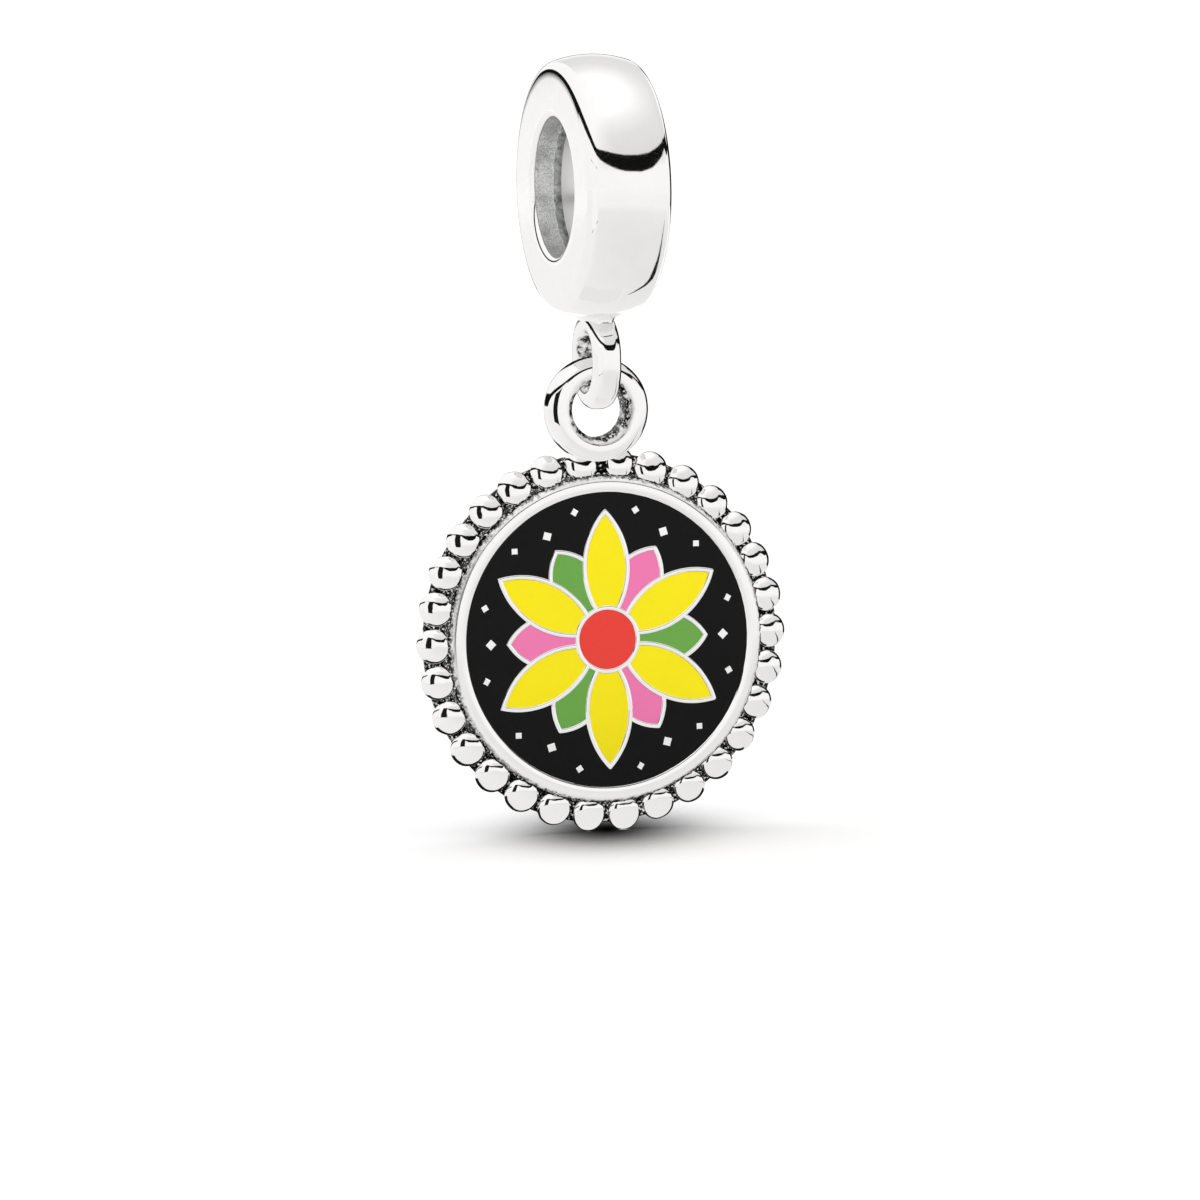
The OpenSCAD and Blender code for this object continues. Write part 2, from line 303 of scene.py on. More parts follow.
loop_low = bail_low.z
loop_mid = (LOOP_GAP + LOOP_T) / 2
loop_z = loop_low + LOOP_T + LOOP_GAP / 2
loop_top = loop_z + LOOP_HIGH - LOOP_GAP
bend = np.radians(np.linspace(0, 360, BEND_STEPS, endpoint=False) + 180 / BEND_STEPS)
outward = np.stack([0 * bend, np.sin(bend), -np.cos(bend)], 1)
path = outward * loop_mid + np.array([0, 0, 1]) * np.where(outward[:, 2] > 0, loop_top, loop_z)[:, None]
inside = band(LOOP_W, LOOP_T, LOOP_ROUND_IN, LOOP_ROUND_IN, 16)[17:51]
bulge = np.radians(np.linspace(-90, 90, 41))
bulge = np.stack([LOOP_T / 2 * np.abs(np.cos(bulge)) ** LOOP_SQUARE,
                  LOOP_W / 2 * np.sign(bulge) * np.abs(np.sin(bulge)) ** LOOP_SQUARE], 1)
loop_section = np.concatenate([bulge, inside])
points, faces = sweep(path, outward, np.tile([1.0, 0, 0], (len(path), 1)), loop_section)
patina = np.tile(inner_patina(loop_section, LOOP_T, LOOP_PATINA), len(path))
patina = patina * (0.75 + 0.6 * lumps(points, 0.25, 8))
bail_loop = mesh_piece("bail_loop", points, faces, "bail_ring", [bail_silver], patina=patina)
bail_loop.visible_glossy = False

# Foot of the loop. Silver solder that drew into the corner between loop and bail ring and set in a
# small hollow fillet all round. It was brushed and not polished, so it has a satin sheen.
FOOT = 0.25
FOOT_RINGS = 16
FOOT_TURN_X = (-12, 102)    # where the fillet's arc starts and how far it turns, beside the loop
FOOT_TURN_Y = (-44, 134)    # and in front of and behind it
FOOT_SATIN = 0.15

loop_out = loop_mid + LOOP_T / 2
foot_z = (loop_top ** 2 - (loop_out + FOOT) ** 2 + (BAIL_R + FOOT) ** 2) / (2 * loop_top)
foot_y = math.sqrt((BAIL_R + FOOT) ** 2 - foot_z ** 2)
foot_x = LOOP_W / 2 + FOOT - 0.02
foot_side_z = -crown_y - math.sqrt((crown_r + FOOT) ** 2 - foot_x ** 2)
around = np.radians(np.linspace(0, 360, 72, endpoint=False))
side = np.sign(np.cos(around)) * np.abs(np.cos(around)) ** 0.7
front = np.sign(np.sin(around)) * np.abs(np.sin(around)) ** 0.8
rings = []
for step in np.linspace(0, 1, FOOT_RINGS):
    turn_x, turn_y = np.radians([start + turn * step for start, turn in (FOOT_TURN_X, FOOT_TURN_Y)])
    x = (foot_x - FOOT * math.cos(turn_x)) * side
    y = (foot_y - FOOT * math.cos(turn_y)) * front
    beside_z = foot_side_z + FOOT * math.sin(turn_x)
    z = beside_z * side ** 2 + (foot_z + FOOT * math.sin(turn_y)) * (1 - side ** 2)
    bail_z = -np.sqrt((crown_y + np.sqrt(crown_r ** 2 - x ** 2)) ** 2 - y ** 2) + 0.004
    rings.append(np.stack([x, y, z + (bail_z - z) * step ** 4], 1))
points, faces = loft(np.array(rings))
patina = np.repeat(FOOT_SATIN + 0.2 * np.linspace(0, 1, FOOT_RINGS) ** 4, len(around))
loop_foot = mesh_piece("loop_foot", points, faces, "bail_ring", [bail_silver], patina=patina)
loop_foot.visible_glossy = False

# Ring on the medallion. A second rounded band of silver, linked through the loop and soldered on
# the edge of the disc between the two top beads, a little off the middle. Its hole was left dark.
ring_low, ring_high = (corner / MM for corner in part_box("medallion"))
disc_low, disc_high = (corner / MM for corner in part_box("enamel_ground"))
DISC_Z = (disc_low.z + disc_high.z) / 2
RING_R = 1.69
RING_T = 0.78
RING_W = 1.12
RING_ROUND = 0.37
RING_ROUND_IN = 0.3
RING_SHIFT = -0.06
RING_PATINA = 0.8

medallion_silver = sterling_silver("polished_sterling_silver_with_patina")
ring_z = ring_high.z - RING_R + 0.01
outward = np.stack([np.sin(bend), 0 * bend, np.cos(bend)], 1)
ring_section = band(RING_W, RING_T, RING_ROUND, RING_ROUND_IN)
points, faces = sweep(outward * (RING_R - RING_T / 2) + [RING_SHIFT, 0, ring_z], outward,
                      np.tile([0, 1.0, 0], (len(bend), 1)), ring_section)
patina = np.tile(inner_patina(ring_section, RING_T, RING_PATINA), len(bend))
patina = patina * (0.75 + 0.7 * lumps(points, 0.22, 9))
medallion_ring = mesh_piece("medallion_ring", points, faces, "pendant", [medallion_silver],
                            patina=patina)
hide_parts("medallion")

# Neck under the ring. The solder that holds the ring on the disc: it filled the gap between the two
# top beads and set rough, and it was left dark.
NECK_HALF = 0.88
NECK_DEPTH = 0.22
NECK_TAPER = 0.1
NECK_PATINA = 0.75

rings = []
for z in np.linspace(-0.4, 0.5, 14):
    width = NECK_HALF * (1 - NECK_TAPER * max(z, 0))
    rings.append(np.stack([width * side, NECK_DEPTH * front, 0 * side + ring_z - RING_R + z], 1))
points, faces = loft(np.array(rings))
points[:, :2] *= 1 + 0.05 * lumps(points, 0.14, 2)[:, None]
neck = mesh_piece("ring_neck", points, faces, "pendant", [medallion_silver],
                  patina=np.full(len(points), NECK_PATINA))

# Plate of the medallion. A round silver plate with a flat polished rim, and outside it a sunk
# groove where the beads sit, which keeps the patina. The pocket inside the rim holds the enamel.
FACE_R = 4.78
RIM_R = 5.14
RIM_FRONT = 0.56
POCKET = 0.34
PLATE_BACK = 0.5
WEB_R = 5.895
PLATE_STEPS = 720
# the plate's profile from the middle of the back round to the middle of the pocket, with the patina at each
# point and how far the hand-worked metal wanders there
PLATE = [
    # front, radius, patina, wander
    (-PLATE_BACK, 0, 0.1, 0), (-PLATE_BACK, 2, 0.1, 0), (-PLATE_BACK, 4, 0.1, 0),
    (-PLATE_BACK, RIM_R - 0.06, 0.1, 0), (-PLATE_BACK + 0.02, RIM_R - 0.02, 0.2, 0),
    (-PLATE_BACK + 0.06, RIM_R, 0.3, 0), (-0.36, RIM_R + 0.02, 0.7, 0.01), (-0.36, 5.6, 0.5, 0.02),
    (-0.34, WEB_R - 0.03, 0.5, 0.02), (-0.24, WEB_R, 0.8, 0.02), (-0.14, WEB_R - 0.03, 1, 0.02),
    (-0.12, 5.7, 1, 0.03), (-0.12, 5.5, 1, 0.03), (-0.1, 5.4, 1, 0.03), (0, 5.35, 0.95, 0.03),
    (0.12, 5.34, 0.9, 0.03), (0.24, 5.33, 0.8, 0.035), (0.31, 5.31, 0.7, 0.04), (0.34, 5.28, 0.6, 0.04),
    (0.37, 5.27, 0.55, 0.04), (0.41, 5.25, 0.48, 0.03), (0.46, 5.22, 0.42, 0.02), (0.5, 5.19, 0.36, 0.01),
    (0.53, 5.16, 0.26, 0.003), (0.55, 5.13, 0.1, 0), (RIM_FRONT, 5.09, 0, 0),
    (RIM_FRONT, (RIM_R + FACE_R) / 2, 0, 0), (RIM_FRONT, FACE_R + 0.03, 0, 0),
    (RIM_FRONT - 0.008, FACE_R + 0.01, 0, 0), (RIM_FRONT - 0.03, FACE_R, 0, 0),
    (RIM_FRONT - POCKET, FACE_R, 0.3, 0), (RIM_FRONT - POCKET, 0, 0.3, 0),
]


def face_on(points):
    """From (front, right, up), measured from the disc's middle, to the charm's own axes."""
    return points[:, [1, 0, 2]] * [1, -1, 1] + [0, 0, DISC_Z]


profile = np.array([row[:2] for row in PLATE])
points, faces = lathe(profile, PLATE_STEPS, closed=False)
wander = np.tile([row[3] for row in PLATE], PLATE_STEPS)
moved = wander > 0
points[moved, 0] += wander[moved] * lumps(points[moved], 0.13, 3)
points[moved, 1:] *= 1 + (wander[moved] * lumps(points[moved], 0.16, 4) / 5)[:, None]
plate = mesh_piece("plate", face_on(points), faces, "pendant", [medallion_silver],
                   patina=np.tile([row[2] for row in PLATE], PLATE_STEPS))

# Bead border. Thirty beads of silver stand round the plate. Their fronts are worn to low domes that
# lean a little outwards, none quite like the next, and the hollows between them are dark.
BEADS = 30
BEAD_CIRCLE_R = 5.735
BEAD_R = 0.55
DOME = 0.3          # how far a bead's front stands out
BEAD_BACK = 0.4
BEAD_LEAN = 16      # in degrees
LEAN_SPREAD = 1.5
SIZE_SPREAD = 0.008
DENT = 0.02
FINE_DENT = 0.0035
SEED = 12

chance = np.random.default_rng(SEED)
polar = np.radians(np.concatenate([np.linspace(0, 90, 28), np.linspace(96, 180, 12)]))
spin = np.radians(np.linspace(0, 360, 56, endpoint=False))
ball = np.stack([np.outer(np.cos(polar), 0 * spin + 1), np.outer(np.sin(polar), np.cos(spin)),
                 np.outer(np.sin(polar), np.sin(spin))], 2)
all_points, all_faces, all_patina = [], [], []
for i in range(BEADS):
    angle = math.radians((i + 0.5) * 360 / BEADS)
    radial = np.array([0, math.sin(angle), math.cos(angle)])
    lean = math.radians(BEAD_LEAN + chance.normal(0, LEAN_SPREAD))
    axis = np.array([math.cos(lean), 0, 0]) + radial * math.sin(lean)
    along = np.array([0, math.cos(angle), -math.sin(angle)])
    up = np.cross(axis, along)
    size = BEAD_R * (1 + chance.normal(0, SIZE_SPREAD))
    depth = np.where(ball[..., :1] > 0, DOME, BEAD_BACK)
    bead = depth * ball[..., :1] * axis + size * (ball[..., 1:2] * along + ball[..., 2:] * up)
    middle = radial * (BEAD_CIRCLE_R + chance.normal(0, SIZE_SPREAD))
    points, faces = loft((bead + middle)[1:-1])
    dent = 1 + DENT * lumps(points, 0.3, 5 + i) + FINE_DENT * lumps(points, 0.1, 5 + i)
    points = middle + (points - middle) * dent[:, None]
    facing = ball[1:-1, :, 0].reshape(-1)
    outer_side = (bead[1:-1] @ radial).reshape(-1) / size
    beside = np.abs(bead[1:-1] @ along).reshape(-1) / size
    hidden = np.clip((0.12 - facing) / 0.25, 0, 1) * np.clip((facing + 0.7) / 0.3, 0, 1)
    near_rim = np.clip((-outer_side - 0.85) / 0.15, 0, 1)
    near_bead = np.clip((beside - 0.93) / 0.1, 0, 1)
    all_patina.append(np.clip(np.maximum(hidden, np.maximum(near_rim, near_bead)), 0, 1))
    all_faces += [tuple(v + sum(map(len, all_points)) for v in face) for face in faces]
    all_points.append(points)
beads = mesh_piece("beads", face_on(np.concatenate(all_points)), all_faces, "pendant", [medallion_silver],
                   patina=np.concatenate(all_patina))

# Strand behind the beads. The solder that ran round under them and holds them on the plate. It set
# in lumps, and it is darkest in front, where the brush didn't reach it.
STRAND_R = 0.27
STRAND_BACK = 0.24
STRAND_STEPS = 480

turn = np.radians(np.linspace(0, 360, STRAND_STEPS, endpoint=False))
outward = np.stack([0 * turn, np.sin(turn), np.cos(turn)], 1)
strand_section = arc(0, 0, STRAND_R, 0, 360, 20)[:-1]
points, faces = sweep(outward * BEAD_CIRCLE_R + [-STRAND_BACK, 0, 0], outward,
                      np.tile([1.0, 0, 0], (len(turn), 1)), strand_section)
wobble = lumps(points, 0.15, 40)
points += (0.06 * wobble[:, None] + 0.05 * lumps(points, 0.5, 41)[:, None]) * [1, 0, 0]
strand = mesh_piece("bead_strand", face_on(points), faces, "pendant", [medallion_silver],
                    patina=np.clip(1 + 2.2 * (points[:, 0] + 0.2), 0.4, 1))

# Cell walls and diamonds. Thin silver walls stand up from the pocket's floor and part the colours,
# with rounded tops that were stoned level with the enamel and polished. Eighteen small diamonds
# stand in the black ground.
PETALS = 6
PETAL_ROOT, PETAL_TIP, PETAL_HALF = 0.5, 4.14, 0.73
LEAF_ROOT, LEAF_TIP, LEAF_HALF = 0.4, 3.34, 0.83
CENTRE_R = 1.03
WALL_HALF = 0.071
WALL_TOP = 0.553
DIAMONDS = [  # distance from the middle, angle from a petal, half diagonal
    (3.94, 30, 0.17), (4.28, 14, 0.13), (4.28, 46, 0.13)]


def lens_side(root, tip, half, sign, n=60):
    """One side of a pointed petal on the vertical axis, from root to tip, as (right, up)."""
    c = (tip - root) / 2
    r = (c * c + half * half) / (2 * half)
    reach = math.degrees(math.asin(c / r))
    return arc(sign * (half - r), (root + tip) / 2, r, 90 - sign * (90 + reach), 90 - sign * (90 - reach), n)


def turned(points, angle):
    """Turns (right, up) points clockwise by an angle in degrees."""
    a = math.radians(angle)
    return points @ np.array([[math.cos(a), -math.sin(a)], [math.sin(a), math.cos(a)]])


def in_petal(points):
    """Which points lie in one of the long petals."""
    c = (PETAL_TIP - PETAL_ROOT) / 2
    r = (c * c + PETAL_HALF ** 2) / (2 * PETAL_HALF)
    inside = np.zeros(len(points), bool)
    for i in range(PETALS):
        p = turned(points, -360 / PETALS * i) - [0, (PETAL_ROOT + PETAL_TIP) / 2]
        left = np.hypot(p[:, 0] - r + PETAL_HALF, p[:, 1]) < r
        inside |= left & (np.hypot(p[:, 0] + r - PETAL_HALF, p[:, 1]) < r)
    return inside


WALL_SECTION = np.array([  # across, front
    (-WALL_HALF, 0.22), (-WALL_HALF, 0.5), (-0.068, 0.532), (-0.058, 0.545),
    (-0.04, WALL_TOP - 0.001), (0, WALL_TOP), (0.04, WALL_TOP - 0.001),
    (0.058, 0.545), (0.068, 0.532), (WALL_HALF, 0.5), (WALL_HALF, 0.22)])


def wall(line, round_end):
    """A silver wall along (right, up) points, and a round dome over its last point if round_end."""
    tangent = np.gradient(line, axis=0)
    tangent /= np.linalg.norm(tangent, axis=1, keepdims=True)
    normal = tangent[:, ::-1] * [1, -1]
    rings = np.concatenate([np.broadcast_to(WALL_SECTION[None, :, 1:], (len(line), len(WALL_SECTION), 1)),
                            line[:, None] + normal[:, None] * WALL_SECTION[None, :, :1]], 2)
    points, faces = loft(rings)
    if round_end:
        half = WALL_SECTION[len(WALL_SECTION) // 2:]
        dome, dome_faces = lathe(half[:, ::-1], 24, closed=False)
        dome[:, 1:] += line[-1]
        faces += [tuple(v + len(points) for v in face) for face in dome_faces]
        points = np.concatenate([points, dome])
    return points, faces


walls = [(arc(0, 0, CENTRE_R, 0, 363, 121), False)]
for i in range(PETALS):
    for sign in (-1, 1):
        line = lens_side(PETAL_ROOT, PETAL_TIP, PETAL_HALF, sign)
        line = line[np.hypot(*line.T) > CENTRE_R - 0.02]
        walls.append((turned(line, 360 / PETALS * i), True))
        line = turned(lens_side(LEAF_ROOT, LEAF_TIP, LEAF_HALF, sign), 360 / PETALS * (i + 0.5))
        line = line[(np.hypot(*line.T) > CENTRE_R) & ~in_petal(line)]
        walls.append((line, True))
all_points, all_faces = [], []
count = 0
for line, round_end in walls:
    points, faces = wall(line, round_end)
    all_faces += [tuple(v + count for v in face) for face in faces]
    all_points.append(points)
    count += len(points)
for i in range(PETALS):
    for distance, angle, reach in DIAMONDS:
        square = turned(np.array([[0, 1.0], [1, 0], [0, -1], [-1, 0]]), 360 / PETALS * i + angle)
        at = turned(np.array([[0, distance]]), 360 / PETALS * i + angle)
        rings = [np.column_stack([np.full(4, front), at + square * (reach + grow)])
                 for front, grow in ((0.22, 0.01), (0.52, 0.01), (0.54, -0.015))]
        points, faces = loft(np.array(rings))
        all_faces += [tuple(v + count for v in face) for face in faces]
        all_points.append(points)
        count += len(points)
cell_walls = mesh_piece("cell_walls", face_on(np.concatenate(all_points)), all_faces, "pendant",
                        [medallion_silver])

# Enamel fills. Vitreous enamel was packed wet into each cell, fired, ground level and fired again,
# so it is an opaque, glossy glass whose surface is not quite even and whose colour holds tiny specks
# and bubbles.


def enamel(name, code, deep):
    """Opaque vitreous enamel: a flat clear colour under a soft gloss."""
    material = bpy.data.materials.new(name)
    material.use_nodes = True
    tree = material.node_tree
    glass = tree.nodes["Principled BSDF"]
    glass.inputs["IOR"].default_value = 1.5
    glass.inputs["Specular IOR Level"].default_value = 0.09
    place = add(tree, "ShaderNodeTexCoord").outputs["Object"]
    cloud = add(tree, "ShaderNodeTexNoise", {"Vector": place, "Scale": 1 / (0.9 * MM), "Detail": 3.0})
    speck = add(tree, "ShaderNodeTexNoise", {"Vector": place, "Scale": 1 / (0.08 * MM), "Detail": 1.0})
    spot = add(tree, "ShaderNodeMapRange", {"Value": speck.outputs[0], "From Min": 0.66, "From Max": 0.76,
                                            "To Min": 0.0, "To Max": 0.5})
    mixed = add(tree, "ShaderNodeMath", {0: cloud.outputs[0], 1: 0.35, 2: spot.outputs[0]},
                operation="MULTIPLY_ADD")
    colour = add(tree, "ShaderNodeMix", {"Factor": mixed.outputs[0], 6: linear(code), 7: linear(deep)},
                 data_type="RGBA")
    tree.links.new(colour.outputs[2], glass.inputs["Base Color"])
    gloss = add(tree, "ShaderNodeMapRange", {"Value": cloud.outputs[0], "To Min": 0.06, "To Max": 0.16})
    tree.links.new(gloss.outputs[0], glass.inputs["Roughness"])
    orange_peel = add(tree, "ShaderNodeBump", {"Height": cloud.outputs[0], "Strength": 1.0,
                                               "Distance": 0.004 * MM})
    tree.links.new(orange_peel.outputs[0], glass.inputs["Normal"])
    return material


ENAMELS = {  # node's name, or how it starts: the enamel, its colour, and the shade of its clouds
    "enamel_ground": ("black_enamel", "#0F0F0F", "#0A0A0A"),
    "enamel_centre": ("red_enamel", "#E6443A", "#D93A32"),
    "petal": ("yellow_enamel", "#F4E31A", "#EEDA11"),
    "green_leaf": ("green_enamel", "#6BA44B", "#619B43"),
    "pink_leaf": ("pink_enamel", "#EA7AAD", "#E370A5"),
}
for start, (name, code, deep) in ENAMELS.items():
    fill = enamel(name, code, deep)
    for node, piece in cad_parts.items():
        if node.startswith(start):
            piece.data.materials.clear()
            piece.data.materials.append(fill)
            piece.visible_glossy = False

# each part was lit by itself, so the medallion doesn't show in the ring or in its own beads
for piece in (plate, cell_walls, neck, medallion_ring, beads, strand):
    piece.visible_glossy = False

# Floor of the studio. A sheet of matt white paper with a faint fibre, laid flat just under the
# lowest bead, which seems to stand on it although the charm hangs.
FLOOR_HALF = 900
FLOOR_GAP = 0.01

paper = bpy.data.materials.new("floor_paper")
paper.use_nodes = True
tree = paper.node_tree
place = add(tree, "ShaderNodeTexCoord").outputs["Object"]
fibre = add(tree, "ShaderNodeTexNoise", {"Vector": place, "Scale": 1 / (0.4 * MM), "Detail": 2.0})
tone = add(tree, "ShaderNodeMix", {"Factor": fibre.outputs[0], 6: linear("#F8F8F8"), 7: linear("#F5F5F5")},
           data_type="RGBA")
sheet = tree.nodes["Principled BSDF"]
sheet.inputs["Roughness"].default_value = 0.9
sheet.inputs["Specular IOR Level"].default_value = 0.0
tree.links.new(tone.outputs[2], sheet.inputs["Base Color"])
floor_z = ring_low.z - FLOOR_GAP
floor_mesh = bpy.data.meshes.new("floor")
floor_mesh.from_pydata([(x * FLOOR_HALF * MM, y * FLOOR_HALF * MM, floor_z * MM)
                        for x, y in ((-1, -1), (1, -1), (1, 1), (-1, 1))], [], [(0, 1, 2, 3)])
floor_mesh.materials.append(paper)
floor = bpy.data.objects.new("floor", floor_mesh)
bpy.context.scene.collection.objects.link(floor)

# Camera. It stands 22 cm away, a little to the left and above, with a long lens. Its angles are in
# degrees: the bearing it looks from, how far it is raised, and how far it is rolled.
PHOTO_PX = 1200
FOCAL_PX = 6911
SENSOR = 36
CAMERA_AZ, CAMERA_EL, CAMERA_ROLL = -18.05, 4.69, -1.22
CAMERA_AWAY = 223.5
AIM = (-0.059, 0, -13.366)

lens = bpy.data.cameras.new("camera")
lens.sensor_width = SENSOR
lens.lens = SENSOR * FOCAL_PX / PHOTO_PX
lens.clip_start, lens.clip_end = 0.01, 10
camera = bpy.data.objects.new("camera", lens)
bpy.context.scene.collection.objects.link(camera)
az, el, roll = (math.radians(v) for v in (CAMERA_AZ, CAMERA_EL, CAMERA_ROLL))
back = Vector((math.sin(az) * math.cos(el), -math.cos(az) * math.cos(el), math.sin(el)))
right = (-back).cross(Vector((0, 0, 1))).normalized()
upward = right.cross(-back)
rolled = (right * math.cos(roll) + upward * math.sin(roll),
          upward * math.cos(roll) - right * math.sin(roll), back)
camera.matrix_world = (Matrix.Translation((Vector(AIM) + back * CAMERA_AWAY) * MM)
                       @ Matrix(rolled).transposed().to_4x4())
bpy.context.scene.camera = camera

# Light tent. White cloth all round and overhead, with a dark slot in its wall where the cloths meet.
# The slot draws the black line under the bail ring's crown and across each bead. Bearings are in
# degrees, from 0 in front through 90 on the right.
SLOT_ENDS = (-172, 125)
SLOT_DARK = 0.006
SLOT = [  # bearing, and how high the slot's upper and lower edges hang, all in degrees
    (-172, 6, -3), (-160, 10, 0), (-150, 14, 3), (-140, 18, 8), (-120, 26, 16), (-100, 32, 22.5),
    (-80, 36, 27), (-60, 37, 28.5), (-40, 36, 28), (-20, 33.5, 26), (-10, 31.5, 20), (0, 29, 15.5),
    (10, 27, 13), (27, 25.5, 11.5), (40, 25.5, 13.5), (50, 27, 18), (60, 29, 23), (68, 30, 23),
    (80, 26, 16), (90, 23, 13), (110, 17, 10), (125, 12, 8)]
CLOTH_RIGHT = [(0.14, 1.08), (0.28, 0.82), (0.5, 0.88), (0.62, 1.0), (0.75, 1.2)]  # height, brightness
CLOTH_LEFT = [(0, 1.05), (1, 1.15)]

tent = bpy.data.worlds.new("light_tent")
bpy.context.scene.world = tent
tent.use_nodes = True
tree = tent.node_tree
direction = add(tree, "ShaderNodeTexCoord").outputs["Generated"]
part = add(tree, "ShaderNodeSeparateXYZ", {0: direction})
height = add(tree, "ShaderNodeMath", {0: part.outputs["Z"]}, operation="ARCSINE")
height = add(tree, "ShaderNodeMath", {0: height.outputs[0]}, operation="DEGREES").outputs[0]
forward = add(tree, "ShaderNodeMath", {0: part.outputs["Y"], 1: -1.0}, operation="MULTIPLY")
bearing = add(tree, "ShaderNodeMath", {0: part.outputs["X"], 1: forward.outputs[0]}, operation="ARCTAN2")
bearing = add(tree, "ShaderNodeMath", {0: bearing.outputs[0]}, operation="DEGREES").outputs[0]


def between(tree, value, start, end, soft):
    """1 where value lies from start to end and 0 outside, with edges as soft as said."""
    rise = add(tree, "ShaderNodeMath", {0: value, 1: start}, operation="SUBTRACT")
    rise = add(tree, "ShaderNodeMath", {0: rise.outputs[0], 1: soft, 2: 0.5},
               operation="MULTIPLY_ADD", use_clamp=True)
    fall = add(tree, "ShaderNodeMath", {0: end, 1: value}, operation="SUBTRACT")
    fall = add(tree, "ShaderNodeMath", {0: fall.outputs[0], 1: soft, 2: 0.5},
               operation="MULTIPLY_ADD", use_clamp=True)
    both = add(tree, "ShaderNodeMath", {0: rise.outputs[0], 1: fall.outputs[0]}, operation="MULTIPLY")
    return both.outputs[0]


def greys(table):
    """A ramp's stops from (value, brightness) rows."""
    return [(value, (level, level, level)) for value, level in table]


turn_share = add(tree, "ShaderNodeMapRange", {"Value": bearing, "From Min": -180.0,
                                              "From Max": 180.0}).outputs[0]
edges = ramp_node(tree, turn_share, [((b + 180) / 360, (up / 90, low / 90, 0)) for b, up, low in SLOT])
edges = add(tree, "ShaderNodeSeparateColor", {0: edges})
slot_top = add(tree, "ShaderNodeMath", {0: edges.outputs[0], 1: 90.0}, operation="MULTIPLY").outputs[0]
slot_low = add(tree, "ShaderNodeMath", {0: edges.outputs[1], 1: 90.0}, operation="MULTIPLY").outputs[0]
slot = between(tree, height, slot_low, slot_top, 1.2)
ends = between(tree, bearing, *SLOT_ENDS, 0.5)
slot = add(tree, "ShaderNodeMath", {0: slot, 1: ends}, operation="MULTIPLY").outputs[0]
share = add(tree, "ShaderNodeMath", {0: height, 1: 90.0}, operation="DIVIDE").outputs[0]
right_side = ramp_node(tree, share, greys(CLOTH_RIGHT))
left_side = ramp_node(tree, share, greys(CLOTH_LEFT))
on_left = add(tree, "ShaderNodeMapRange", {"Value": bearing, "From Min": 5.0, "From Max": -30.0},
              interpolation_type="SMOOTHSTEP")
cloth = add(tree, "ShaderNodeMix", {"Factor": on_left.outputs[0], 6: right_side, 7: left_side},
            data_type="RGBA")
shown = add(tree, "ShaderNodeMix", {"Factor": slot, 6: cloth.outputs[2],
                                    7: (SLOT_DARK, SLOT_DARK, SLOT_DARK, 1)}, data_type="RGBA")
tree.links.new(shown.outputs[2], tree.nodes["Background"].inputs["Color"])

# White cards beside the camera. A dark stand there shows in the medallion, but not in the bail ring
# or the loop and only partly in the beads, so a white card hides it from those pieces alone.
STAND = (-75, -31)
STAND_AWAY = 40
STAND_TOP = 11
CARD_GLOW = 1.05


def white_card(name, bearings, heights, pieces, away):
    """A glowing upright card that only the given pieces see, from one bearing and height to
    another, in degrees."""
    middle = math.radians(sum(bearings) / 2)
    half = math.radians((bearings[1] - bearings[0]) / 2)
    low, high = (away * math.tan(math.radians(h)) for h in heights)
    light = bpy.data.lights.new(name, "AREA")
    light.shape = "RECTANGLE"
    light.size, light.size_y = (2 * away * math.tan(half) * MM, (high - low) * MM)
    light.energy = CARD_GLOW * math.pi * light.size * light.size_y
    card = bpy.data.objects.new(name, light)
    outward = Vector((math.sin(middle), -math.cos(middle), 0))
    card.location = (outward * away + Vector((0, 0, (low + high) / 2))) * MM
    card.rotation_euler = (math.radians(90), 0, middle)
    bpy.context.scene.collection.objects.link(card)
    seen_by = bpy.data.collections.new(name + "_seen_by")
    for piece in pieces:
        seen_by.objects.link(piece)
    card.light_linking.receiver_collection = seen_by
    card.visible_camera = False
    return card


white_card("bail_card", STAND, (-27.7, 15.4), [bail_ring, bail_loop, loop_foot], 36)
white_card("bead_card", (STAND[0], -51), (-28.6, 15.4), [beads], 37)

# Soft lamps. One large lamp behind the camera brings up the enamel's colours and lights nothing
# else. The other hangs overhead, where it lights the floor and puts the charm's shadow under it.
FILL_POWER = 0.5
OVERHEAD_POWER = 0.75

fill = bpy.data.lights.new("enamel_fill", "SUN")
fill.energy = FILL_POWER
fill.angle = math.radians(40)
enamel_fill = bpy.data.objects.new("enamel_fill", fill)
enamel_fill.rotation_euler = (math.radians(70), 0, math.radians(CAMERA_AZ))
enamel_fill.visible_glossy = False
bpy.context.scene.collection.objects.link(enamel_fill)
enamel_fill.light_linking.receiver_collection = bpy.data.collections.new("enamel_fill_seen_by")
for node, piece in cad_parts.items():
    if node not in ("bail", "medallion"):
        enamel_fill.light_linking.receiver_collection.objects.link(piece)
sun = bpy.data.lights.new("overhead", "SUN")
sun.energy = OVERHEAD_POWER
sun.angle = math.radians(60)
overhead = bpy.data.objects.new("overhead", sun)
overhead.rotation_euler = (math.radians(-10), 0, 0)
overhead.visible_glossy = False
bpy.context.scene.collection.objects.link(overhead)

# Floor as the silver sees it, painted on glowing sheets. In the mirrors it is a white sheet with a grey
# field of painted shade in front, and a black sheet close behind the disc is a painted shadow. A card over
# the black sheet hides it from the upper pieces.
FLOOR_FRONT = [(0.06, 0.9), (0.115, 0.94), (0.16, 1.03), (0.5, 1.07), (1, 1.07)]  # share of 500 mm, level
FLOOR_LEFT = 1.01
SHEET_HALF = 700
SHEET_UP = 0.02             # heights above the paper
CLOTH_UP = 0.04
CLOTH_CARD_UP = 0.06
CLOTH_BLACK = 0.01
CLOTH = (-9, 6.6, 0.1, 8)   # left, right, front, back
CLOTH_CARD_EDGE = 0.03
CLOTH_CARD_GLOW = 0.9


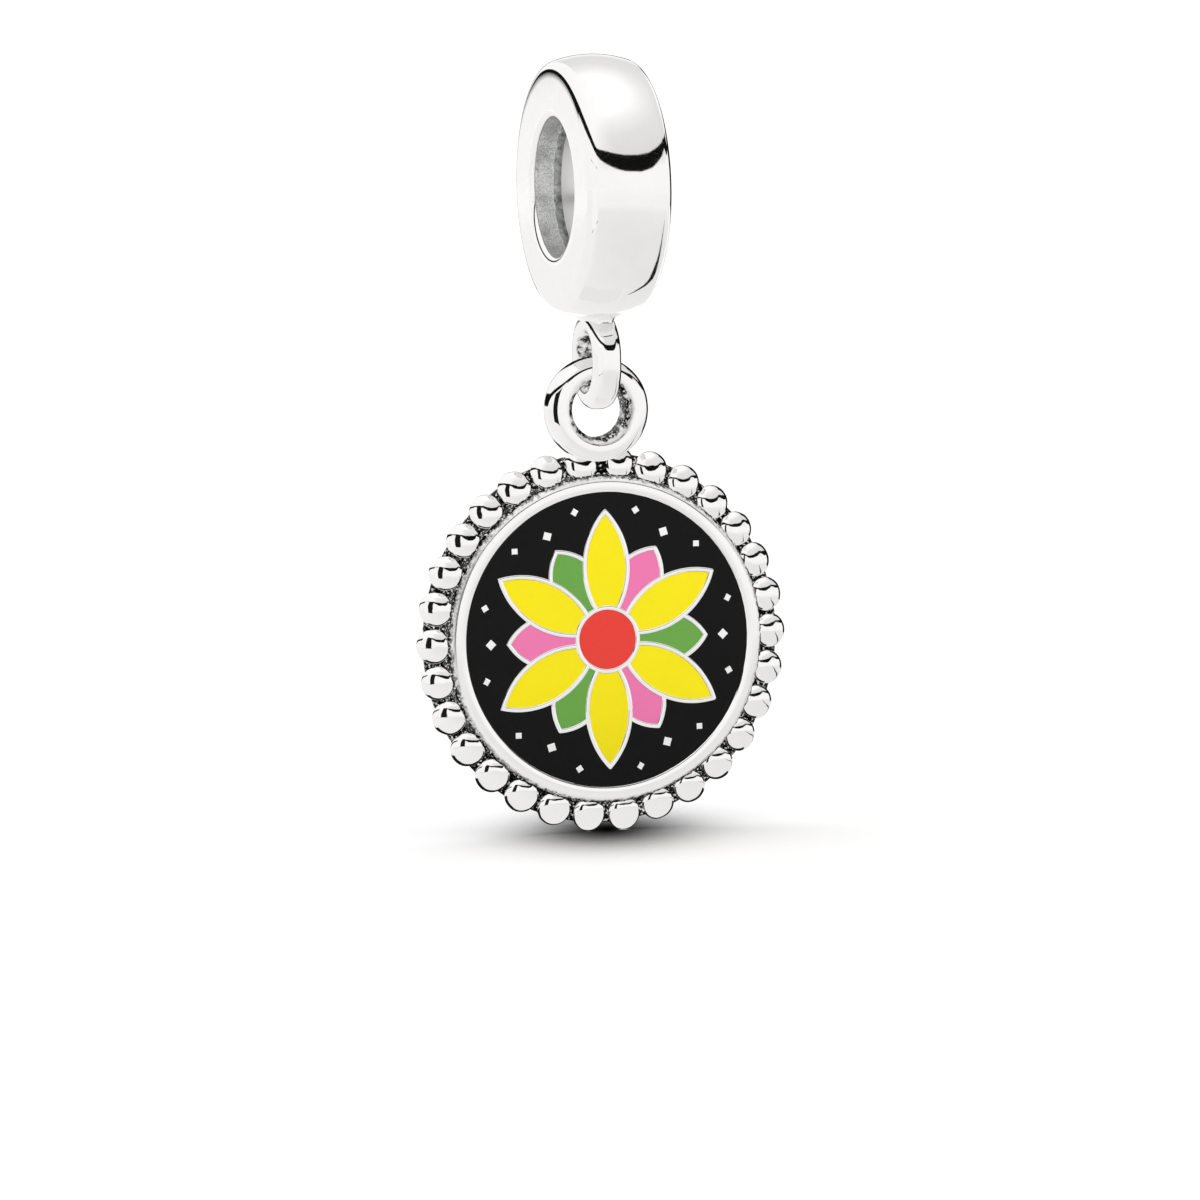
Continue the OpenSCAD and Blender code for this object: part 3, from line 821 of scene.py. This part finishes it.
def glow(name, colour_at=None, level=1.0):
    """A card that shines evenly, whatever shadow falls on it."""
    material = bpy.data.materials.new(name)
    material.use_nodes = True
    tree = material.node_tree
    tree.nodes.remove(tree.nodes["Principled BSDF"])
    light = add(tree, "ShaderNodeEmission", {"Color": (level, level, level, 1)})
    if colour_at:
        tree.links.new(colour_at(tree), light.inputs["Color"])
    tree.links.new(light.outputs[0], tree.nodes["Material Output"].inputs["Surface"])
    return material


def card(name, points, faces, material):
    """A card that only shows in the silver."""
    mesh = bpy.data.meshes.new(name)
    mesh.from_pydata([[v * MM for v in p] for p in points], [], faces)
    mesh.materials.append(material)
    piece = bpy.data.objects.new(name, mesh)
    bpy.context.scene.collection.objects.link(piece)
    piece.visible_camera = piece.visible_diffuse = piece.visible_shadow = False
    return piece


def floor_glow(tree):
    """Paints the floor's reflection: white, with painted shade as a grey field in front on the right."""
    place = add(tree, "ShaderNodeTexCoord").outputs["Object"]
    part = add(tree, "ShaderNodeSeparateXYZ", {0: place})
    away = add(tree, "ShaderNodeVectorMath", {0: place}, operation="LENGTH").outputs["Value"]
    share = add(tree, "ShaderNodeMath", {0: away, 1: 500 * MM}, operation="DIVIDE").outputs[0]
    front = ramp_node(tree, share, greys(FLOOR_FRONT))
    across = add(tree, "ShaderNodeMath", {0: part.outputs["Y"], 1: -0.5, 2: part.outputs["X"]},
                 operation="MULTIPLY_ADD").outputs[0]
    on_right = add(tree, "ShaderNodeMapRange", {"Value": across, "From Min": -20 * MM, "From Max": 15 * MM},
                   interpolation_type="SMOOTHSTEP").outputs[0]
    level = add(tree, "ShaderNodeMix", {"Factor": on_right, 6: (FLOOR_LEFT, FLOOR_LEFT, FLOOR_LEFT, 1),
                                        7: front}, data_type="RGBA")
    return level.outputs[2]


def rectangle(left, right, front, back, up):
    """The corners of a card that lies flat, so far above the paper."""
    return [(x, y, floor_z + up) for x, y in ((left, front), (right, front), (right, back), (left, back))]


# painted reflection of the floor: a glowing sheet only the silver sees, greyer near the charm as painted
# shade
card("mirror_floor", rectangle(-SHEET_HALF, SHEET_HALF, -SHEET_HALF, SHEET_HALF, SHEET_UP),
     [(0, 1, 2, 3)], glow("mirror_floor", floor_glow))
black_cloth = glow("black_cloth", level=CLOTH_BLACK)
# painted shadow: a black sheet that only the silver sees, lying where the disc's shadow falls behind it
card("painted_shade_behind", rectangle(*CLOTH, CLOTH_UP), [(0, 1, 2, 3)], black_cloth)
left, right, front, back = CLOTH
cloth_card = white_card("cloth_card", (-1, 1), (-1, 1),
                        [bail_ring, bail_loop, loop_foot, medallion_ring], 1)
cloth_card.data.size = (right - left + CLOTH_CARD_EDGE) * MM
cloth_card.data.size_y = (back - front + CLOTH_CARD_EDGE) * MM
cloth_card.data.energy = CLOTH_CARD_GLOW * math.pi * cloth_card.data.size * cloth_card.data.size_y
cloth_card.rotation_euler = (math.pi, 0, 0)
cloth_card.location = ((left + right) / 2 * MM, (front + back) / 2 * MM, (floor_z + CLOTH_CARD_UP) * MM)

# Dark boards and a cord on the floor. The stand is left of the camera, and the wall closes the tent's
# back on the right. They edge the silver with black. The cord lies on the right and draws the
# crescent on the bail ring. White cards hide the wall from the faces that stay clear.
WALL_AWAY = 36
WALL_CARD_AWAY = 33
WALL = [  # bearing in degrees, top
    (100, 20), (110, 20), (120, 20), (130, 20), (140, 19), (147, 15), (152, 11), (160, 10), (170, 10),
    (177, 8), (183, 2)]
CORD_UP = 0.06
CORD = np.array([  # right, back, width
    (39.2, -26.7, 0.45), (26.8, -16.2, 0.8), (21.4, -9.9, 1.1), (18.6, -5.7, 1.5), (16.9, -2.9, 1.9),
    (15.7, -0.3, 2.2), (14.5, 2.3, 2.1), (12.7, 3.7, 1.6), (10.4, 4.3, 0.9), (8.5, 5, 0.3)])


def board(name, away, tops):
    """An upright black card that stands on the floor, along (bearing, top) rows."""
    turns = [(math.radians(bearing), top) for bearing, top in tops]
    points = [(away * math.sin(a), -away * math.cos(a), z) for a, top in turns for z in (floor_z, top)]
    card(name, points, [(2 * i, 2 * i + 2, 2 * i + 3, 2 * i + 1) for i in range(len(tops) - 1)], black_cloth)


board("stand", STAND_AWAY, [(bearing, STAND_TOP) for bearing in range(STAND[0], STAND[1] + 1, 4)])
run = np.gradient(CORD[:, :2], axis=0)
sideways = run[:, ::-1] * [1, -1] / np.linalg.norm(run, axis=1, keepdims=True) * CORD[:, 2:] / 2
near_edge = [(*xy, floor_z + CORD_UP) for xy in (CORD[:, :2] - sideways).tolist()]
far_edge = [(*xy, floor_z + CORD_UP) for xy in (CORD[:, :2] + sideways).tolist()]
count = len(CORD)
card("floor_line", near_edge + far_edge,
     [(i, i + 1, i + 1 + count, i + count) for i in range(count - 1)], black_cloth)
board("wall_behind", WALL_AWAY, WALL)
white_card("wall_card", (100, 142), (-31.1, 31.2), [plate, cell_walls], WALL_CARD_AWAY)
white_card("wall_card_front", (100, 142), (-31.5, -8), [bail_ring], WALL_CARD_AWAY)
white_card("wall_card_high", (100, 142), (15, 31.2), [bail_ring], WALL_CARD_AWAY)
white_card("wall_card_low", (142, 184), (-31.5, -12), [bail_ring, loop_foot], WALL_CARD_AWAY)

# Shadow under the disc. A soft oval of shade on the floor, nearly black in the middle, turned to lie
# square to the camera. A card that lets less and less light through towards its middle casts it.
SHADOW = (2.7, 5.3)     # how far it reaches across and along the view
SHADOW_FRONT = -0.54    # how far in front of the disc it lies
SHADOW_FALL = 2.2
SHADOW_UP = 0.05

scrim = bpy.data.materials.new("shadow_scrim")
scrim.use_nodes = True
tree = scrim.node_tree
tree.nodes.remove(tree.nodes["Principled BSDF"])
place = add(tree, "ShaderNodeTexCoord").outputs["Object"]
scaled = add(tree, "ShaderNodeVectorMath", {0: place, 1: (1 / (SHADOW[0] * MM), 1 / (SHADOW[1] * MM), 0)},
             operation="MULTIPLY")
away = add(tree, "ShaderNodeVectorMath", {0: scaled.outputs[0]}, operation="LENGTH").outputs["Value"]
fall = add(tree, "ShaderNodeMath", {0: away, 1: SHADOW_FALL}, operation="POWER")
fall = add(tree, "ShaderNodeMath", {0: fall.outputs[0], 1: -1.0}, operation="MULTIPLY")
fall = add(tree, "ShaderNodeMath", {0: fall.outputs[0]}, operation="EXPONENT")
clear = add(tree, "ShaderNodeBsdfTransparent")
shade = add(tree, "ShaderNodeBsdfDiffuse", {0: (0, 0, 0, 1)})
mix = add(tree, "ShaderNodeMixShader", {0: fall.outputs[0], 1: clear.outputs[0], 2: shade.outputs[0]})
tree.links.new(mix.outputs[0], tree.nodes["Material Output"].inputs["Surface"])
card_mesh = bpy.data.meshes.new("shadow_card")
card_mesh.from_pydata([(x * 4 * SHADOW[0] * MM, y * 4 * SHADOW[1] * MM, 0)
                       for x, y in ((-1, -1), (1, -1), (1, 1), (-1, 1))], [], [(0, 1, 2, 3)])
card_mesh.materials.append(scrim)
shadow_card = bpy.data.objects.new("shadow_card", card_mesh)
shadow_card.matrix_world = (Matrix.Rotation(math.radians(CAMERA_AZ), 4, "Z")
                            @ Matrix.Translation((0, -SHADOW_FRONT * MM, (floor_z + SHADOW_UP) * MM)))
bpy.context.scene.collection.objects.link(shadow_card)
shadow_card.visible_camera = False
shadow_card.visible_glossy = False
bpy.context.scene.view_settings.view_transform = "Standard"
